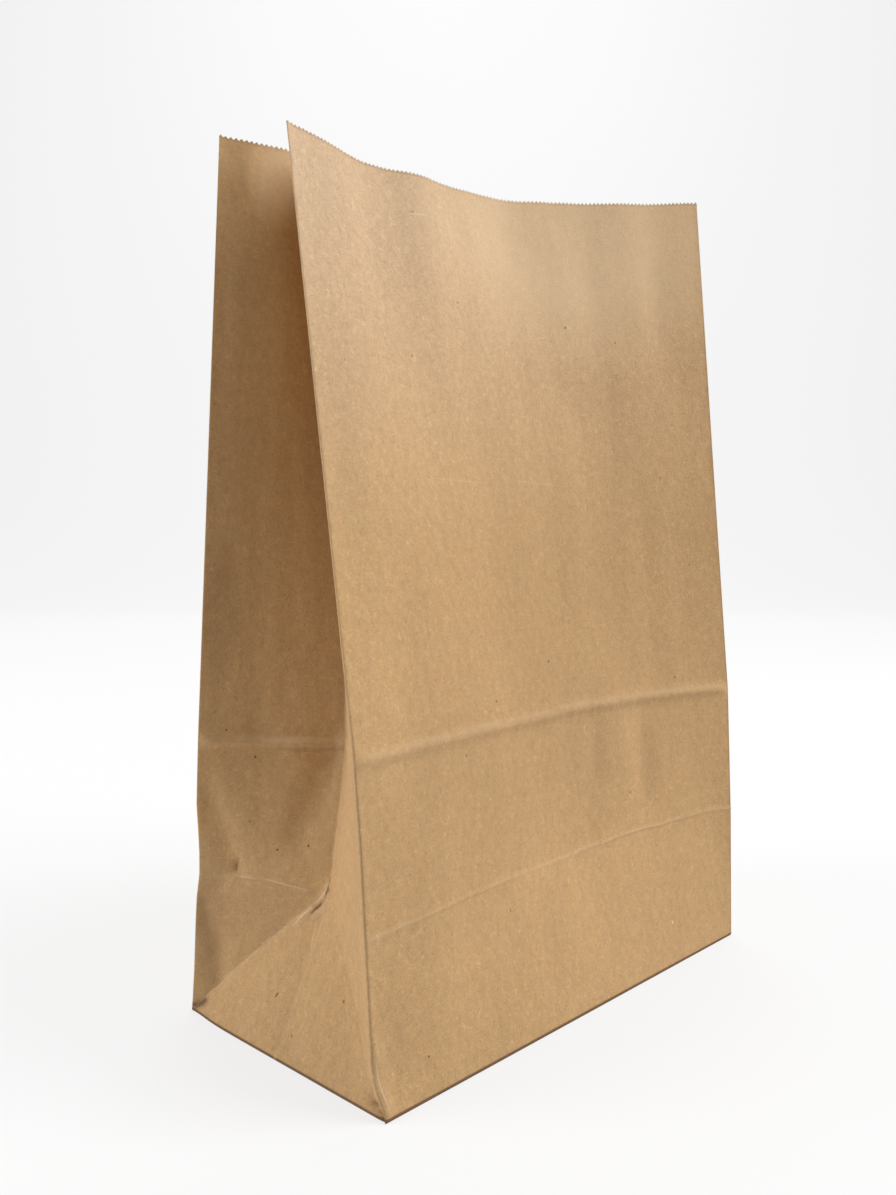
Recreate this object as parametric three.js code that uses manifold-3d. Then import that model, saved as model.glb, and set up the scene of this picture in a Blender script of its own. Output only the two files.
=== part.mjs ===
// A brown kraft paper lunch bag of the self-opening kind, standing open on its flat base.
// It is one sheet: wrapped into a tube with a pasted back seam, tucked in at both sides,
// folded over and pasted at the bottom, and cut off at the mouth with a saw-toothed knife.
// Millimetres, +Z up, +X along the width, +Y from the front panel to the back panel.

import * as THREE from 'three';
import { mergeVertices } from 'three/addons/utils/BufferGeometryUtils.js';
import Module from 'manifold-3d';

// Driving dimensions of the flat bag.
const PAPER = 0.15;                       // one layer of kraft paper
const WIDTH = 180;                        // front and back panel
const GUSSET = 94;                        // side panel, folded in along its middle
const HEIGHT = 280;                       // base fold to mouth, along the paper
const HALF_GUSSET = GUSSET / 2;
const LOW_CREASE = HALF_GUSSET;           // the fold that lets the base lie flat on the panel
const HIGH_CREASE = GUSSET;               // the mark that the edge of the flat base has pressed
const TOOTH_PITCH = 1.6;
const TOOTH_DEPTH = 0.75;
const SEAM_START = 38;                    // pasted lap on the back panel, from its right edge
const SEAM_WIDTH = 14;
const FLAP_DEPTH = 0.62 * GUSSET;         // each of the two pasted flaps under the base
const FLAP_INSET = 0.4;                   // from the base folds to the flaps' corners
const COLOUR = 0xc49e70;

// How far each corner fold leans, in degrees, over its three stretches: base to low crease,
// low crease to high crease, high crease to mouth. Each pair is [towards +X, towards +Y].
const FRONT_LEFT_LEANS = [[-2.9, 5.7], [2.5, 9.2], [4.7, 14.6]];
const FRONT_RIGHT_LEANS = [[-1, 0.2], [1.4, 2.8], [-1, 4.3]];
const BACK_RIGHT_LEANS = [[0, -1], [1, -2], [1.5, 1.2]];
const BACK_LEFT_LEANS = [[-0.6, -7.7], [-6, -12.4], [4.6, 2.6]];
const LEFT_BASE_LEAN = 25.2;              // triangle that stands on the left end of the base
const RIGHT_BASE_LEAN = 6;

// The curve of the mouth: which way, and how strongly, each panel leaves its two folds.
const FRONT_MOUTH = [new THREE.Vector3(63, 6.2, -1), new THREE.Vector3(-59, 45.9, -6)];
const BACK_MOUTH = [new THREE.Vector3(-55, 14, 0), new THREE.Vector3(58, 13, 0)];

// How far each panel is dented inwards at the low and the high crease. Each pair is [near its
// first fold, near its second fold].
const FRONT_DENTS = [[2, 22], [2, 24]];
const BACK_DENTS = [[-5, -5], [0, 0]];

const CREASE_RIDGE = 0.5;                 // height of the soft ridge along the high crease
const RIDGE_HALF_WIDTH = 3.5;

// Mesh steps.
const FOLD_MARGIN = 1;                    // narrow strip beside each fold
const PANEL_STEPS = 11;
const GUSSET_STEPS = 5;
const MITRE_LIMIT = 2;

const { lerp, degToRad, clamp } = THREE.MathUtils;

// One corner fold, as a function that gives the point at a height along the paper.
function cornerFold(x, y, leans) {
  const lengths = [LOW_CREASE, HIGH_CREASE - LOW_CREASE, HEIGHT - HIGH_CREASE];
  const corners = [new THREE.Vector3(x, y, 0)];
  leans.forEach(([leanX, leanY], i) => {
    const dx = Math.sin(degToRad(leanX));
    const dy = Math.sin(degToRad(leanY));
    const rise = new THREE.Vector3(dx, dy, Math.sqrt(1 - dx * dx - dy * dy));
    corners.push(corners[i].clone().addScaledVector(rise, lengths[i]));
  });
  return (height) => alongStretches(corners, height);
}

// A point on a line of three straight stretches that bend at the two creases.
function alongStretches(corners, height) {
  const marks = [0, LOW_CREASE, HIGH_CREASE, HEIGHT];
  const i = height < LOW_CREASE ? 0 : height < HIGH_CREASE ? 1 : 2;
  const share = (height - marks[i]) / (marks[i + 1] - marks[i]);
  return corners[i].clone().lerp(corners[i + 1], share);
}

// One tucked side: the two triangles' apex at the low crease, then the inward middle fold,
// each point half a gusset away from both corner folds.
function tuckedSide(first, second, inward, baseLean) {
  const foot = first(0).lerp(second(0), 0.5);
  const lean = degToRad(baseLean);
  const rise = new THREE.Vector3(inward * Math.sin(lean), 0, Math.cos(lean));
  const apex = foot.clone().addScaledVector(rise, LOW_CREASE);
  const middles = [HIGH_CREASE, HEIGHT].map((height) => {
    const chord = second(height).sub(first(height));
    const depth = Math.sqrt(HALF_GUSSET ** 2 - (chord.length() / 2) ** 2);
    const across = new THREE.Vector3(Math.abs(chord.y), -chord.x * Math.sign(chord.y), 0);
    across.normalize().multiplyScalar(inward * depth);
    return first(height).lerp(second(height), 0.5).add(across);
  });
  const corners = [foot, apex, ...middles];
  const middle = (height) => alongStretches(corners, height);
  return { first, second, middle, apex, rise };
}

// A point on a tucked side, at a distance from its first corner fold and a height.
function sidePoint(side, distance, height) {
  const onFirst = distance <= HALF_GUSSET;
  const near = onFirst ? side.first : side.second;
  const far = onFirst ? side.second : side.first;
  const inset = onFirst ? distance : GUSSET - distance;
  const corner = near(0);
  if (height <= inset) {
    return corner.lerp(far(0), inset / GUSSET).addScaledVector(side.rise, height);
  }
  if (height <= LOW_CREASE) {
    const up = near(LOW_CREASE).sub(corner).multiplyScalar((height - inset) / LOW_CREASE);
    const diagonal = side.apex.clone().sub(corner).multiplyScalar(inset / LOW_CREASE);
    return corner.add(up).add(diagonal);
  }
  return near(height).lerp(side.middle(height), inset / HALF_GUSSET);
}

// How far a dent reaches at a height: nothing on the base, then its depths at both creases.
function dentAt(low, high, height) {
  if (height < LOW_CREASE) return (low * height) / LOW_CREASE;
  return lerp(low, high, clamp((height - LOW_CREASE) / (HIGH_CREASE - LOW_CREASE), 0, 1));
}

// The level line of a front or back panel at a height: straight on the base, dented at both
// creases and curved at the mouth. Inward is the way into the bag along Y.
function panelLine(first, second, mouth, inward, [low, high], height) {
  const start = first(height);
  const end = second(height);
  const third = end.clone().sub(start).divideScalar(3);
  const opening = clamp((height - HIGH_CREASE) / (HEIGHT - HIGH_CREASE), 0, 1);
  const [near, far] = [0, 1].map((i) => new THREE.Vector3(0, inward * dentAt(low[i], high[i], height), 0));
  const leave = third.clone().add(near).lerp(mouth[0], opening);
  const arrive = third.clone().negate().add(far).lerp(mouth[1], opening);
  return new THREE.CubicBezierCurve3(start, leave.add(start), arrive.add(end), end);
}

const frontLeft = cornerFold(-WIDTH / 2, -GUSSET / 2, FRONT_LEFT_LEANS);
const frontRight = cornerFold(WIDTH / 2, -GUSSET / 2, FRONT_RIGHT_LEANS);
const backRight = cornerFold(WIDTH / 2, GUSSET / 2, BACK_RIGHT_LEANS);
const backLeft = cornerFold(-WIDTH / 2, GUSSET / 2, BACK_LEFT_LEANS);
const rightSide = tuckedSide(frontRight, backRight, -1, RIGHT_BASE_LEAN);
const leftSide = tuckedSide(backLeft, frontLeft, 1, LEFT_BASE_LEAN);
const ROUND = 2 * (WIDTH + GUSSET);

// The closed line that the paper makes at one height, as a function of the distance round
// the tube from the front left fold: front, right side, back, left side.
function paperLine(height) {
  const front = panelLine(frontLeft, frontRight, FRONT_MOUTH, 1, FRONT_DENTS, height);
  const back = panelLine(backRight, backLeft, BACK_MOUTH, -1, BACK_DENTS, height);
  return (round) => {
    if (round < WIDTH) return front.getPointAt(round / WIDTH);
    if (round < WIDTH + GUSSET) return sidePoint(rightSide, round - WIDTH, height);
    const beyond = round - WIDTH - GUSSET;
    if (beyond < WIDTH) return back.getPointAt(beyond / WIDTH);
    return sidePoint(leftSide, beyond - WIDTH, height);
  };
}

// Distances across half a gusset, which are also the heights up to the low crease, so that
// the diagonal folds run along the mesh.
function tuckSteps() {
  const steps = [0, FOLD_MARGIN];
  for (let i = 1; i < GUSSET_STEPS; i++) steps.push((i * HALF_GUSSET) / GUSSET_STEPS);
  return [...steps, HALF_GUSSET - FOLD_MARGIN];
}

function panelSteps(extra) {
  const steps = [0, FOLD_MARGIN, WIDTH - FOLD_MARGIN, ...extra];
  for (let i = 1; i < PANEL_STEPS; i++) steps.push((i * WIDTH) / PANEL_STEPS);
  return steps.sort((a, b) => a - b);
}

function columns() {
  const half = tuckSteps();
  const mirrored = half.slice(1).map((step) => GUSSET - step).reverse();
  const gusset = [...half, HALF_GUSSET, ...mirrored];
  const seamEnd = SEAM_START + SEAM_WIDTH;
  const seam = [SEAM_START, SEAM_START + PAPER, seamEnd - PAPER, seamEnd];
  const panels = [panelSteps([]), gusset, panelSteps(seam), gusset];
  const starts = [0, WIDTH, WIDTH + GUSSET, 2 * WIDTH + GUSSET];
  return panels.flatMap((steps, i) => steps.map((step) => starts[i] + step));
}

function rows() {
  const heights = [...tuckSteps(), LOW_CREASE, LOW_CREASE + FOLD_MARGIN];
  heights.push((LOW_CREASE + HIGH_CREASE) / 2, HIGH_CREASE - RIDGE_HALF_WIDTH, HIGH_CREASE);
  const above = HIGH_CREASE + RIDGE_HALF_WIDTH;
  const last = HEIGHT - 2 * TOOTH_DEPTH;
  const spans = 7;
  for (let i = 0; i <= spans; i++) heights.push(lerp(above, last, i / spans));
  return heights;
}

// The saw-toothed mouth: a whole number of teeth round the tube.
function toothRow() {
  const teeth = Math.round(ROUND / TOOTH_PITCH);
  const tips = paperLine(HEIGHT);
  const roots = paperLine(HEIGHT - TOOTH_DEPTH);
  const points = [];
  for (let i = 0; i < 2 * teeth; i++) {
    const round = (i * ROUND) / (2 * teeth);
    points.push({ round, place: i % 2 ? tips(round) : roots(round) });
  }
  return points;
}

// The paper's middle surface as points and triangles, from the base fold to the teeth.
function paperSurface() {
  const across = columns();
  const heights = rows();
  const points = [];
  for (const height of heights) {
    const line = paperLine(height);
    for (const round of across) points.push({ round, height, place: line(round) });
  }
  const triangles = [];
  const count = across.length;
  for (let row = 0; row + 1 < heights.length; row++) {
    for (let column = 0; column < count; column++) {
      const a = row * count + column;
      const b = row * count + ((column + 1) % count);
      const leansBack = slantsBack(across[column]);
      if (leansBack) triangles.push([a, b, a + count], [b, b + count, a + count]);
      else triangles.push([a, b, b + count], [a, b + count, a + count]);
    }
  }
  const lower = across.map((_, i) => (heights.length - 1) * count + i);
  const upper = toothRow().map((point) => points.push({ ...point, height: HEIGHT }) - 1);
  triangles.push(...stitch(points, lower, upper));
  return { points, triangles, foot: across.map((_, i) => i), mouth: upper };
}

// On the second half of each gusset the diagonal fold runs the other way.
function slantsBack(round) {
  const beyond = round % (WIDTH + GUSSET);
  return beyond >= WIDTH + HALF_GUSSET;
}

// A band of triangles between two closed rows of points with different spacing.
function stitch(points, lower, upper) {
  const triangles = [];
  const at = (row, i) => points[row[i % row.length]].round + ROUND * Math.floor(i / row.length);
  let i = 0;
  let j = 0;
  while (i < lower.length || j < upper.length) {
    const low = [lower[i % lower.length], lower[(i + 1) % lower.length]];
    const high = [upper[j % upper.length], upper[(j + 1) % upper.length]];
    const stepLow = j >= upper.length || (i < lower.length && at(lower, i + 1) <= at(upper, j + 1));
    if (stepLow) {
      triangles.push([low[0], low[1], high[0]]);
      i += 1;
    } else {
      triangles.push([low[0], high[1], high[0]]);
      j += 1;
    }
  }
  return triangles;
}

// How far the outer face stands off the middle surface: half a layer, and one more layer
// on the pasted seam.
function outerReach({ round }) {
  const onBack = round - WIDTH - GUSSET;
  const onSeam = onBack > SEAM_START && onBack < SEAM_START + SEAM_WIDTH;
  return PAPER / 2 + (onSeam ? PAPER : 0);
}

// The soft ridge along the high crease, which dies out at the folds.
function ridgeLift({ round, height }, folds) {
  const toFold = Math.min(...folds.map((fold) => Math.abs(round - fold)));
  return height === HIGH_CREASE && toFold > FOLD_MARGIN ? CREASE_RIDGE : 0;
}

// Corner-weighted normals, lengthened at folds so that both layers keep their thickness.
function foldNormals(points, triangles) {
  const normals = points.map(() => new THREE.Vector3());
  const faces = triangles.map((corners) => {
    const [a, b, c] = corners.map((i) => points[i].place);
    const face = b.clone().sub(a).cross(c.clone().sub(a)).normalize();
    const places = [a, b, c];
    corners.forEach((index, k) => {
      const one = places[(k + 1) % 3].clone().sub(places[k]);
      const two = places[(k + 2) % 3].clone().sub(places[k]);
      normals[index].addScaledVector(face, one.angleTo(two));
    });
    return face;
  });
  normals.forEach((normal) => normal.normalize());
  const flattest = points.map(() => 1);
  triangles.forEach((corners, f) => {
    for (const i of corners) flattest[i] = Math.min(flattest[i], normals[i].dot(faces[f]));
  });
  normals.forEach((normal, i) => {
    normal.multiplyScalar(1 / Math.max(flattest[i], 1 / MITRE_LIMIT));
  });
  return normals;
}

// The tube of paper as a closed body: outer face, inner face and the two cut edges.
function tubeGeometry() {
  const { points, triangles, foot, mouth } = paperSurface();
  const normals = foldNormals(points, triangles);
  const count = points.length;
  const places = [];
  const folds = [0, WIDTH, WIDTH + HALF_GUSSET, WIDTH + GUSSET, ROUND - GUSSET];
  folds.push(ROUND - HALF_GUSSET, ROUND);
  const offsetBy = (point, i, reach) => {
    const lift = reach + ridgeLift(point, folds);
    const place = point.place.clone().addScaledVector(normals[i], lift);
    places.push(place.x, place.y, place.z);
  };
  points.forEach((point, i) => offsetBy(point, i, outerReach(point)));
  points.forEach((point, i) => offsetBy(point, i, -PAPER / 2));
  const index = [];
  for (const [a, b, c] of triangles) {
    index.push(a, b, c);
    index.push(count + a, count + c, count + b);
  }
  closeEdge(index, foot, count, false);
  closeEdge(index, mouth, count, true);
  return closedGeometry(places, index);
}

// The cut edge of the paper along one end of the tube.
function closeEdge(index, edge, count, upward) {
  edge.forEach((a, i) => {
    const b = edge[(i + 1) % edge.length];
    if (upward) index.push(a, b, count + b, a, count + b, count + a);
    else index.push(b, a, count + b, a, count + a, count + b);
  });
}

function closedGeometry(places, index) {
  const geometry = new THREE.BufferGeometry();
  geometry.setAttribute('position', new THREE.Float32BufferAttribute(places, 3));
  geometry.setIndex(index);
  return geometry;
}

// One flat layer of the base, between two heights counted in layers of paper.
function baseLayer(outline, bottom, top) {
  const shape = new THREE.Shape(outline.map(([x, y]) => new THREE.Vector2(x, y)));
  const depth = (top - bottom) * PAPER;
  const layer = new THREE.ExtrudeGeometry(shape, { depth, bevelEnabled: false });
  return layer.translate(0, 0, bottom * PAPER);
}

// The base: its layers are pasted together into one floor. On top of it show the two ends
// of the side panels, turned in flat, with the back panel's flap a step lower between them.
// Underneath, the corners of both flaps are folded at 45 degrees, so each is a trapezium,
// and the front panel's flap is pasted over the back panel's.
function baseLayers() {
  const x = WIDTH / 2;
  const y = GUSSET / 2;
  const tuckEnd = x - FLAP_DEPTH;
  const floor = baseLayer(rectangle(-x, x, -y, y), -1, 0.5);
  const inside = [
    baseLayer(rectangle(FLAP_INSET - x, -tuckEnd, FLAP_INSET - y, y - FLAP_INSET), 0, 1.5),
    baseLayer(rectangle(tuckEnd, x - FLAP_INSET, FLAP_INSET - y, y - FLAP_INSET), 0, 1.5),
    baseLayer(rectangle(-tuckEnd - 1, tuckEnd + 1, y - FLAP_DEPTH, y - FLAP_INSET), 0, 1),
  ];
  return [floor, ...inside, pastedFlap(1, -2), pastedFlap(-1, -3)];
}

function rectangle(left, right, front, back) {
  return [[left, front], [right, front], [right, back], [left, back]];
}

// One flap under the base; side is -1 at the front, and its face is so many layers down.
function pastedFlap(side, face) {
  const longX = WIDTH / 2 - FLAP_INSET;
  const shortX = longX - FLAP_DEPTH;
  const fold = side * (GUSSET / 2 - FLAP_INSET);
  const edge = fold - side * FLAP_DEPTH;
  return baseLayer([[-longX, fold], [-shortX, edge], [shortX, edge], [longX, fold]], face, 0);
}

const wasm = await Module();
wasm.setup();

function solid(geometry) {
  const bare = geometry.clone();
  bare.deleteAttribute('normal');
  bare.deleteAttribute('uv');
  const merged = mergeVertices(bare, 1e-5);
  const vertProperties = new Float32Array(merged.attributes.position.array);
  const triVerts = new Uint32Array(merged.index.array);
  return new wasm.Manifold(new wasm.Mesh({ numProp: 3, vertProperties, triVerts }));
}

function geometryOf(body) {
  const { vertProperties, triVerts } = body.getMesh();
  return closedGeometry(vertProperties, Array.from(triVerts));
}

// Tube and base joined, then set down with the middle of the whole bag over the origin.
function bagGeometry() {
  let body = solid(tubeGeometry());
  for (const layer of baseLayers()) body = body.add(solid(layer));
  const geometry = geometryOf(body);
  geometry.computeBoundingBox();
  const { min, max } = geometry.boundingBox;
  geometry.translate(-(min.x + max.x) / 2, -(min.y + max.y) / 2, -min.z);
  return geometry;
}

const kraft = new THREE.MeshStandardMaterial({ color: COLOUR, roughness: 0.85, metalness: 0 });
const bag = new THREE.Mesh(bagGeometry(), kraft);
bag.name = 'paper_bag';

const lunchBag = new THREE.Group();
lunchBag.add(bag);

export default lunchBag;
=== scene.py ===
import math

import bpy
import numpy as np
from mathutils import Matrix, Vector


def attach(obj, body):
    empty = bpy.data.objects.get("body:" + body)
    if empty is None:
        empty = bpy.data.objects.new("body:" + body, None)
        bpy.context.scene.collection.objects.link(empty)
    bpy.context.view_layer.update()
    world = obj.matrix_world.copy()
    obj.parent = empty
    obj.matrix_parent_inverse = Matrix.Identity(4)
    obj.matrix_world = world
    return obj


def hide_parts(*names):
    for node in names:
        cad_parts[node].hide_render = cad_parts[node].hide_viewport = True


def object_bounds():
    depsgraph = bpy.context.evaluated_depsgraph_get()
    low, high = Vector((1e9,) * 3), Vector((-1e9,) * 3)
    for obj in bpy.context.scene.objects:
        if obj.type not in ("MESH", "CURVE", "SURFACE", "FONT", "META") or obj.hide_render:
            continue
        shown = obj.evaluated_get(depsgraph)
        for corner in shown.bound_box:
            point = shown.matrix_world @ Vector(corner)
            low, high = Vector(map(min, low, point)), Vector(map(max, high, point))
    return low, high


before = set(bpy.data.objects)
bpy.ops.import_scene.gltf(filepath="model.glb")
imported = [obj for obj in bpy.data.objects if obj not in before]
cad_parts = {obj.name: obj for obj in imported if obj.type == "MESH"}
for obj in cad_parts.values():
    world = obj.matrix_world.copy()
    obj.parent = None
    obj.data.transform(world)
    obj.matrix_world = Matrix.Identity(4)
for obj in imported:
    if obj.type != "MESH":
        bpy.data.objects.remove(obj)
cad_low, cad_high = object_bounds()


# ---- The walls ---------------------------------------------------------------------------
# One sheet of brown kraft paper, wrapped into a tube with a pasted lap down the back, tucked
# in at both sides and creased twice above the base. It was cut off at the mouth with a
# saw-toothed knife, kept folded flat and opened by hand. Lengths here are in millimetres.

PAPER = 0.15                              # one layer of kraft paper
WIDTH = 180                               # front and back panel
GUSSET = 94                               # side panel, folded in along its middle
HEIGHT = 280                              # base fold to mouth, along the paper
HALF_GUSSET = GUSSET / 2
LOW_CREASE = HALF_GUSSET                  # the fold that lets the base lie flat on the panel
HIGH_CREASE = GUSSET                      # the mark that the edge of the flat base pressed
MARKS = [0, LOW_CREASE, HIGH_CREASE, HEIGHT]
ROUND = 2 * (WIDTH + GUSSET)              # the whole way round, from the front left fold
RIGHT_START = WIDTH
BACK_START = WIDTH + GUSSET
LEFT_START = BACK_START + WIDTH
SEAM_START = BACK_START + 38              # the lap down the back
SEAM_WIDTH = 14

# How far each corner fold leans, in degrees, towards +X and +Y, over its three stretches.
FRONT_LEFT_LEANS = [(-2.9, 5.7), (2.5, 9.2), (4.7, 14.6)]
FRONT_RIGHT_LEANS = [(-1, 0.2), (1.4, 2.8), (-0.7, 4.3)]
BACK_RIGHT_LEANS = [(0, -1), (1, -2), (1.5, 1.2)]
BACK_LEFT_LEANS = [(-0.6, -7.7), (-6, -12.4), (4.6, 2.6)]
LEFT_BASE_LEAN = 25.2
RIGHT_BASE_LEAN = 6
BACK_LEFT_SAG = [0, 1.6, 3.6, 2.1]        # how far this corner has buckled and come down

# Which way, and how strongly, each panel leaves its two folds at the mouth.
FRONT_MOUTH = [(63, 6.2, -1), (-59, 45.9, -6)]
BACK_MOUTH = [(-55, 14, 0), (58, 13, 0)]

# How far each panel is dented inwards, near its two folds, at the base and at both creases.
FRONT_DENTS = [(0, 0), (2, 22), (2, 24)]
BACK_DENTS = [(0, 0), (-5, -5), (0, 0)]


def bent_line(corners, height):
    """Points on a line of three straight stretches that bend at the two creases."""
    return np.stack([np.interp(height, MARKS, corners[:, k]) for k in range(3)], axis=-1)


def corner_fold(x, y, leans):
    """The four corners of a corner fold's three stretches, from the base to the mouth."""
    corners = [np.array([x, y, 0.0])]
    for (lean_x, lean_y), length in zip(leans, np.diff(MARKS)):
        dx, dy = math.sin(math.radians(lean_x)), math.sin(math.radians(lean_y))
        rise = np.array([dx, dy, math.sqrt(1 - dx * dx - dy * dy)])
        corners.append(corners[-1] + rise * length)
    return np.array(corners)


def tucked_side(first, second, inward, base_lean, apex_pull, slip):
    """A side panel: the triangle on the base, its apex, and the middle fold above it."""
    foot = (first[0] + second[0]) / 2
    lean = math.radians(base_lean)
    rise = np.array([inward * math.sin(lean), 0, math.cos(lean)]) * apex_pull
    middle = [foot, foot + rise * LOW_CREASE]
    for near, far in zip(first[2:], second[2:]):
        chord = far - near
        depth = math.sqrt(HALF_GUSSET**2 - chord @ chord / 4)
        across = np.array([abs(chord[1]), -chord[0] * np.sign(chord[1]), 0])
        middle.append((near + far) / 2 + across / np.linalg.norm(across) * inward * depth)
    middle[2] = middle[2] + slip
    return {"first": first, "second": second, "middle": np.array(middle), "rise": rise}


def side_points(side, distance, height):
    """Points up a tucked side, at one distance from its first corner fold."""
    near, far = side["first"], side["second"]
    if distance > HALF_GUSSET:
        near, far = far, near
    inset = min(distance, GUSSET - distance)
    tall = np.asarray(height)[:, None]
    standing = near[0] + (far[0] - near[0]) * inset / GUSSET + side["rise"] * tall
    folded = near[0] + (near[1] - near[0]) * (tall - inset) / LOW_CREASE
    folded = folded + (side["middle"][1] - near[0]) * inset / LOW_CREASE
    edge = bent_line(near, height)
    above = edge + (bent_line(side["middle"], height) - edge) * inset / HALF_GUSSET
    return np.where(tall <= inset, standing, np.where(tall <= LOW_CREASE, folded, above))


def panel_points(first, second, mouth, inward, dents, share, height):
    """Evenly spaced points along the level line of a front or back panel."""
    start, end = bent_line(first, height), bent_line(second, height)
    third = (end - start) / 3
    opening = min(max((height - HIGH_CREASE) / (HEIGHT - HIGH_CREASE), 0), 1)
    near, far = [np.array([0, inward * np.interp(height, MARKS[:3], dent), 0]) for dent in zip(*dents)]
    leave = start + (third + near) * (1 - opening) + np.array(mouth[0]) * opening
    arrive = end + (far - third) * (1 - opening) + np.array(mouth[1]) * opening
    t = np.linspace(0, 1, 241)[:, None]
    curve = start * (1 - t) ** 3 + 3 * leave * t * (1 - t) ** 2
    curve += 3 * arrive * t * t * (1 - t) + end * t**3
    run = np.concatenate([[0], np.cumsum(np.linalg.norm(np.diff(curve, axis=0), axis=1))])
    return np.stack([np.interp(share * run[-1], run, curve[:, k]) for k in range(3)], axis=-1)


front_left = corner_fold(-WIDTH / 2, -GUSSET / 2, FRONT_LEFT_LEANS)
front_right = corner_fold(WIDTH / 2, -GUSSET / 2, FRONT_RIGHT_LEANS)
back_right = corner_fold(WIDTH / 2, GUSSET / 2, BACK_RIGHT_LEANS)
back_left = corner_fold(-WIDTH / 2, GUSSET / 2, BACK_LEFT_LEANS)
back_left[:, 2] -= BACK_LEFT_SAG
right_side = tucked_side(front_right, back_right, -1, RIGHT_BASE_LEAN, 1, (0, 0, -1))
left_side = tucked_side(back_left, front_left, 1, LEFT_BASE_LEAN, 1.045, (-1.6, 1.6, -4.5))
PANELS = [
    (0, front_left, front_right, FRONT_MOUTH, 1, FRONT_DENTS),
    (BACK_START, back_right, back_left, BACK_MOUTH, -1, BACK_DENTS),
]
SIDES = [(RIGHT_START, right_side), (LEFT_START, left_side)]
FOLDS = [0, RIGHT_START, RIGHT_START + HALF_GUSSET, BACK_START, LEFT_START,
         LEFT_START + HALF_GUSSET]


def crisp_points(rounds, heights):
    """The paper's middle surface with knife-sharp folds: a row of points for each height."""
    places = np.empty((len(heights), len(rounds), 3))
    around = np.mod(rounds, ROUND)
    for start, *panel in PANELS:
        here = (around >= start) & (around < start + WIDTH)
        share = (around[here] - start) / WIDTH
        for row, height in enumerate(heights):
            places[row, here] = panel_points(*panel, share, height)
    for start, side in SIDES:
        for column in np.flatnonzero((around >= start) & (around < start + GUSSET)):
            places[:, column] = side_points(side, around[column] - start, heights)
    return places


def turn_from(fold, rounds):
    """Signed distance round the tube from a fold."""
    return np.mod(rounds - fold + ROUND / 2, ROUND) - ROUND / 2


# The grid of the sheet. Up to the low crease the rows are spaced as the side columns are,
# so that the slanting folds of the tucks run along its faces' diagonals.
STEPS = 34
STEP = HALF_GUSSET / STEPS
FOLD_RADIUS = STEP / 2
BESIDE_FOLD = [0.2, 0.45, FOLD_RADIUS]
tuck_steps = [0, *BESIDE_FOLD, *(STEP * np.arange(1, STEPS)),
              *(HALF_GUSSET - np.array(BESIDE_FOLD[::-1]))]
above_low = LOW_CREASE + np.array([0, 0.5, 1, 1.5, 2.1, 2.9, 4, 5.5, *np.arange(7.5, 38, 2.6)])
above_high = HIGH_CREASE + np.array([-7, -5.6, -4.4, -3.5, -2.8, -2.1, -1.4, -0.7,
                                     0, 0.7, 1.4, 2.2, 3.2, 4.6])
TOOTH_PITCH = 1.6
TOOTH_DEPTH = 0.85
heights = np.concatenate([tuck_steps, above_low, above_high,
                          np.linspace(HIGH_CREASE + 7, HEIGHT - 2 * TOOTH_DEPTH, 58),
                          [HEIGHT - TOOTH_DEPTH]])

side_columns = np.array([*tuck_steps, HALF_GUSSET, *(GUSSET - np.array(tuck_steps[:0:-1]))])
beside_panel = np.array([*BESIDE_FOLD, 1.1, 1.6, 2.3])
across_panel = WIDTH / 56 * np.arange(1, 56)
panel_columns = np.array([0, *beside_panel, *across_panel, *(WIDTH - beside_panel[::-1])])
around_once = np.concatenate([panel_columns, RIGHT_START + side_columns,
                              BACK_START + panel_columns, LEFT_START + side_columns])
lap = SEAM_START + np.array([-3, -2, -1, -0.4, 0, 0.4, SEAM_WIDTH - 0.4, SEAM_WIDTH])
unrolled = np.unique(np.round(np.concatenate([around_once, around_once + ROUND, lap, lap + ROUND]), 4))
rounds = unrolled[(unrolled >= SEAM_START) & (unrolled <= SEAM_START + ROUND + SEAM_WIDTH)]

places = crisp_points(rounds, heights)
for fold in FOLDS:
    at = np.array([fold - FOLD_RADIUS, fold, fold + FOLD_RADIUS])
    before, middle, after = crisp_points(at, heights).transpose(1, 0, 2)
    turn = turn_from(fold, rounds)
    for column in np.flatnonzero(abs(turn) < FOLD_RADIUS - 1e-4):
        t = (turn[column] / FOLD_RADIUS + 1) / 2
        places[:, column] = (1 - t) ** 2 * before + 2 * t * (1 - t) * middle + t * t * after

# The left corner folds aren't straight near the base: the way each has moved, heights, how far
# it has moved there, and how far the paper beside it goes along.
BOWS = [
    (0, (-0.69, 0.72), [0, 6, 10, 14.5, 23, 44, 70], [0, 1.4, 2.1, 2.3, 1.75, 0.6, 0], 13),
    (LEFT_START, (0.69, -0.72), [0, 14, 31, 39, 47, 55, 64, 72],
     [1.7, 1.6, 1.1, 1.0, 1.4, 1.2, 0.6, 0], 12),
]
for fold, way, at, moved, reach in BOWS:
    near = np.exp(-((turn_from(fold, rounds) / reach) ** 2))
    far_moved = np.interp(heights, at, moved)[:, None] * near
    places[..., 0] += far_moved * way[0]
    places[..., 1] += far_moved * way[1]

# The cut at the mouth isn't quite level: distance round, half width and how far it rises.
CUT_RISES = [(0, 25, 0.9), (WIDTH, 25, 0.9)]
for place, half_width, rise in CUT_RISES:
    near = np.exp(-((turn_from(place, rounds) / half_width) ** 2))
    places[..., 2] += rise * np.interp(heights, [HEIGHT - 100, HEIGHT], [0, 1])[:, None] * near

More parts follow.
